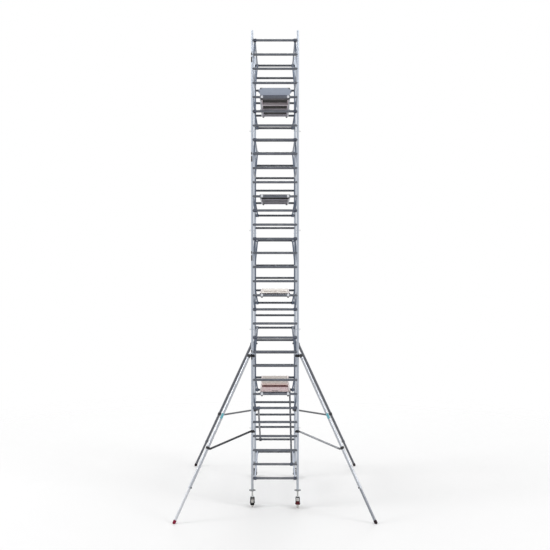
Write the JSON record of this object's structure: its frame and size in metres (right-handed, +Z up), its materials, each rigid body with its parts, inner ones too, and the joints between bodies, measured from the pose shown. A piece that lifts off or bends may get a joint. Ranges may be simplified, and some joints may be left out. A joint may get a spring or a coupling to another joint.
{
  "type": "mobile tower scaffold",
  "caption": "Tall narrow aluminium rolling tower: stacked ladder frames on braked castors, hatch platforms, guard frames, toe boards, diagonal braces and splayed telescopic stabilisers.",
  "frame": {"origin": "on the floor at the middle of the tower's footprint, halfway between the four uprights", "axes": "+X to the right across the frames, +Y along the platforms from the front end frame to the rear one, +Z up"},
  "size_m": [3.8306, 4.844, 9.455],
  "materials": {
    "frame_tube": "satin extruded tube with faint draw lines and handling marks",
    "clip_steel": "zinc-plated wire",
    "platform_profile": "satin extrusion",
    "deck_board": "film-faced plywood, slightly scuffed",
    "hatch_board": "film-faced plywood, slightly scuffed",
    "toe_board": "grey-blue painted board",
    "guard_tube": "satin extruded tube",
    "brace_tube": "satin extruded tube",
    "leg_thread": "zinc-plated, rolled thread",
    "nut_metal": "cast and zinc-plated",
    "fork_metal": "dark coated casting",
    "wheel_plastic": "light grey moulded wheel, dusty tread",
    "pedal_red": "red coated plate, scuffed edge",
    "stabiliser_metal": "satin tube, black couplers",
    "foot_rubber": "very dark red-brown moulded rubber"
  },
  "bodies": {
    "tower": {"base_frame_front": "frame_tube", "base_frame_rear": "frame_tube", "frame_front_1": "frame_tube", "frame_front_2": "frame_tube", "frame_front_3": "frame_tube", "frame_front_4": "frame_tube", "frame_rear_1": "frame_tube", "frame_rear_2": "frame_tube", "frame_rear_3": "frame_tube", "frame_rear_4": "frame_tube", "locking_clips": "clip_steel", "platform_frame_1": "platform_profile", "platform_frame_2": "platform_profile", "platform_frame_3": "platform_profile", "platform_frame_4": "platform_profile", "deck_boards": "deck_board", "toe_boards": "toe_board", "guard_frames_left": "guard_tube", "guard_frames_right": "guard_tube", "braces": "brace_tube"},
    "hatch_1": {"hatch_1": "hatch_board"},
    "hatch_2": {"hatch_2": "hatch_board"},
    "hatch_3": {"hatch_3": "hatch_board"},
    "hatch_4": {"hatch_4": "hatch_board"},
    "leg_nut_front_left": {"leg_nut_front_left": "nut_metal"},
    "leg_front_left": {"leg_front_left": "leg_thread"},
    "castor_front_left": {"castor_fork_front_left": "fork_metal"},
    "wheel_front_left": {"castor_wheel_front_left": "wheel_plastic"},
    "pedal_front_left": {"brake_pedal_front_left": "pedal_red"},
    "stabiliser_front_left": {"stabiliser_tube_front_left": "stabiliser_metal", "stabiliser_arm_front_left": "stabiliser_metal"},
    "stabiliser_leg_front_left": {"stabiliser_leg_front_left": "stabiliser_metal", "stabiliser_foot_front_left": "foot_rubber"},
    "leg_nut_front_right": {"leg_nut_front_right": "nut_metal"},
    "leg_front_right": {"leg_front_right": "leg_thread"},
    "castor_front_right": {"castor_fork_front_right": "fork_metal"},
    "wheel_front_right": {"castor_wheel_front_right": "wheel_plastic"},
    "pedal_front_right": {"brake_pedal_front_right": "pedal_red"},
    "stabiliser_front_right": {"stabiliser_tube_front_right": "stabiliser_metal", "stabiliser_arm_front_right": "stabiliser_metal"},
    "stabiliser_leg_front_right": {"stabiliser_leg_front_right": "stabiliser_metal", "stabiliser_foot_front_right": "foot_rubber"},
    "leg_nut_rear_left": {"leg_nut_rear_left": "nut_metal"},
    "leg_rear_left": {"leg_rear_left": "leg_thread"},
    "castor_rear_left": {"castor_fork_rear_left": "fork_metal"},
    "wheel_rear_left": {"castor_wheel_rear_left": "wheel_plastic"},
    "pedal_rear_left": {"brake_pedal_rear_left": "pedal_red"},
    "stabiliser_rear_left": {"stabiliser_tube_rear_left": "stabiliser_metal", "stabiliser_arm_rear_left": "stabiliser_metal"},
    "stabiliser_leg_rear_left": {"stabiliser_leg_rear_left": "stabiliser_metal", "stabiliser_foot_rear_left": "foot_rubber"},
    "leg_nut_rear_right": {"leg_nut_rear_right": "nut_metal"},
    "leg_rear_right": {"leg_rear_right": "leg_thread"},
    "castor_rear_right": {"castor_fork_rear_right": "fork_metal"},
    "wheel_rear_right": {"castor_wheel_rear_right": "wheel_plastic"},
    "pedal_rear_right": {"brake_pedal_rear_right": "pedal_red"},
    "stabiliser_rear_right": {"stabiliser_tube_rear_right": "stabiliser_metal", "stabiliser_arm_rear_right": "stabiliser_metal"},
    "stabiliser_leg_rear_right": {"stabiliser_leg_rear_right": "stabiliser_metal", "stabiliser_foot_rear_right": "foot_rubber"}
  },
  "joints": [
    {"name": "hatch_hinge_1", "type": "hinge", "parent": "tower", "child": "hatch_1", "pos_m": [0, -0.3866, 2.3078], "axis": [-1, 0, 0], "range_deg": [0, 100]},
    {"name": "hatch_hinge_2", "type": "hinge", "parent": "tower", "child": "hatch_2", "pos_m": [0, -0.3866, 4.2678], "axis": [-1, 0, 0], "range_deg": [0, 100]},
    {"name": "hatch_hinge_3", "type": "hinge", "parent": "tower", "child": "hatch_3", "pos_m": [0, -0.3866, 6.2278], "axis": [-1, 0, 0], "range_deg": [0, 100]},
    {"name": "hatch_hinge_4", "type": "hinge", "parent": "tower", "child": "hatch_4", "pos_m": [0, -0.3866, 8.1878], "axis": [-1, 0, 0], "range_deg": [0, 100]},
    {"name": "nut_turn_front_left", "type": "hinge", "parent": "tower", "child": "leg_nut_front_left", "pos_m": [-0.45, -1.25, 0.34], "axis": [0, 0, 1], "range_deg": [-3230, 7910]},
    {"name": "leg_slide_front_left", "type": "slide", "parent": "tower", "child": "leg_front_left", "axis": [0, 0, 1], "range_m": [-0.22, 0.09]},
    {"name": "castor_swivel_front_left", "type": "hinge", "parent": "leg_front_left", "child": "castor_front_left", "pos_m": [-0.45, -1.25, 0.2], "axis": [0, 0, 1], "continuous": true},
    {"name": "wheel_spin_front_left", "type": "hinge", "parent": "castor_front_left", "child": "wheel_front_left", "pos_m": [-0.45, -1.208, 0.09], "axis": [1, 0, 0], "continuous": true},
    {"name": "brake_pedal_front_left", "type": "hinge", "parent": "castor_front_left", "child": "pedal_front_left", "pos_m": [-0.45, -1.11929, 0.14983], "axis": [-1, 0, 0], "range_deg": [0, 15]},
    {"name": "stabiliser_swing_front_left", "type": "hinge", "parent": "tower", "child": "stabiliser_front_left", "pos_m": [-0.45, -1.25, 3.02], "axis": [0, 0, 1], "range_deg": [-30, 30]},
    {"name": "stabiliser_slide_front_left", "type": "slide", "parent": "stabiliser_front_left", "child": "stabiliser_leg_front_left", "axis": [-0.3942, -0.3136, -0.8639], "range_m": [-0.45, 0.2]},
    {"name": "nut_turn_front_right", "type": "hinge", "parent": "tower", "child": "leg_nut_front_right", "pos_m": [0.45, -1.25, 0.34], "axis": [0, 0, 1], "range_deg": [-3230, 7910]},
    {"name": "leg_slide_front_right", "type": "slide", "parent": "tower", "child": "leg_front_right", "axis": [0, 0, 1], "range_m": [-0.22, 0.09]},
    {"name": "castor_swivel_front_right", "type": "hinge", "parent": "leg_front_right", "child": "castor_front_right", "pos_m": [0.45, -1.25, 0.2], "axis": [0, 0, 1], "continuous": true},
    {"name": "wheel_spin_front_right", "type": "hinge", "parent": "castor_front_right", "child": "wheel_front_right", "pos_m": [0.45, -1.292, 0.09], "axis": [1, 0, 0], "continuous": true},
    {"name": "brake_pedal_front_right", "type": "hinge", "parent": "castor_front_right", "child": "pedal_front_right", "pos_m": [0.45, -1.38071, 0.14983], "axis": [1, 0, 0], "range_deg": [0, 15]},
    {"name": "stabiliser_swing_front_right", "type": "hinge", "parent": "tower", "child": "stabiliser_front_right", "pos_m": [0.45, -1.25, 3.02], "axis": [0, 0, 1], "range_deg": [-30, 30]},
    {"name": "stabiliser_slide_front_right", "type": "slide", "parent": "stabiliser_front_right", "child": "stabiliser_leg_front_right", "axis": [0.3942, -0.3136, -0.8639], "range_m": [-0.45, 0.2]},
    {"name": "nut_turn_rear_left", "type": "hinge", "parent": "tower", "child": "leg_nut_rear_left", "pos_m": [-0.45, 1.25, 0.34], "axis": [0, 0, 1], "range_deg": [-3230, 7910]},
    {"name": "leg_slide_rear_left", "type": "slide", "parent": "tower", "child": "leg_rear_left", "axis": [0, 0, 1], "range_m": [-0.22, 0.09]},
    {"name": "castor_swivel_rear_left", "type": "hinge", "parent": "leg_rear_left", "child": "castor_rear_left", "pos_m": [-0.45, 1.25, 0.2], "axis": [0, 0, 1], "continuous": true},
    {"name": "wheel_spin_rear_left", "type": "hinge", "parent": "castor_rear_left", "child": "wheel_rear_left", "pos_m": [-0.45, 1.292, 0.09], "axis": [1, 0, 0], "continuous": true},
    {"name": "brake_pedal_rear_left", "type": "hinge", "parent": "castor_rear_left", "child": "pedal_rear_left", "pos_m": [-0.45, 1.38071, 0.14983], "axis": [-1, 0, 0], "range_deg": [0, 15]},
    {"name": "stabiliser_swing_rear_left", "type": "hinge", "parent": "tower", "child": "stabiliser_rear_left", "pos_m": [-0.45, 1.25, 3.02], "axis": [0, 0, 1], "range_deg": [-30, 30]},
    {"name": "stabiliser_slide_rear_left", "type": "slide", "parent": "stabiliser_rear_left", "child": "stabiliser_leg_rear_left", "axis": [-0.3942, 0.3136, -0.8639], "range_m": [-0.45, 0.2]},
    {"name": "nut_turn_rear_right", "type": "hinge", "parent": "tower", "child": "leg_nut_rear_right", "pos_m": [0.45, 1.25, 0.34], "axis": [0, 0, 1], "range_deg": [-3230, 7910]},
    {"name": "leg_slide_rear_right", "type": "slide", "parent": "tower", "child": "leg_rear_right", "axis": [0, 0, 1], "range_m": [-0.22, 0.09]},
    {"name": "castor_swivel_rear_right", "type": "hinge", "parent": "leg_rear_right", "child": "castor_rear_right", "pos_m": [0.45, 1.25, 0.2], "axis": [0, 0, 1], "continuous": true},
    {"name": "wheel_spin_rear_right", "type": "hinge", "parent": "castor_rear_right", "child": "wheel_rear_right", "pos_m": [0.45, 1.208, 0.09], "axis": [1, 0, 0], "continuous": true},
    {"name": "brake_pedal_rear_right", "type": "hinge", "parent": "castor_rear_right", "child": "pedal_rear_right", "pos_m": [0.45, 1.11929, 0.14983], "axis": [1, 0, 0], "range_deg": [0, 15]},
    {"name": "stabiliser_swing_rear_right", "type": "hinge", "parent": "tower", "child": "stabiliser_rear_right", "pos_m": [0.45, 1.25, 3.02], "axis": [0, 0, 1], "range_deg": [-30, 30]},
    {"name": "stabiliser_slide_rear_right", "type": "slide", "parent": "stabiliser_rear_right", "child": "stabiliser_leg_rear_right", "axis": [0.3942, 0.3136, -0.8639], "range_m": [-0.45, 0.2]}
  ],
  "couplings": [
    {"joint": "leg_slide_front_left", "follows": "nut_turn_front_left", "m_per_rad": -0.0015915},
    {"joint": "leg_slide_front_right", "follows": "nut_turn_front_right", "m_per_rad": -0.0015915},
    {"joint": "leg_slide_rear_left", "follows": "nut_turn_rear_left", "m_per_rad": -0.0015915},
    {"joint": "leg_slide_rear_right", "follows": "nut_turn_rear_right", "m_per_rad": -0.0015915}
  ]
}
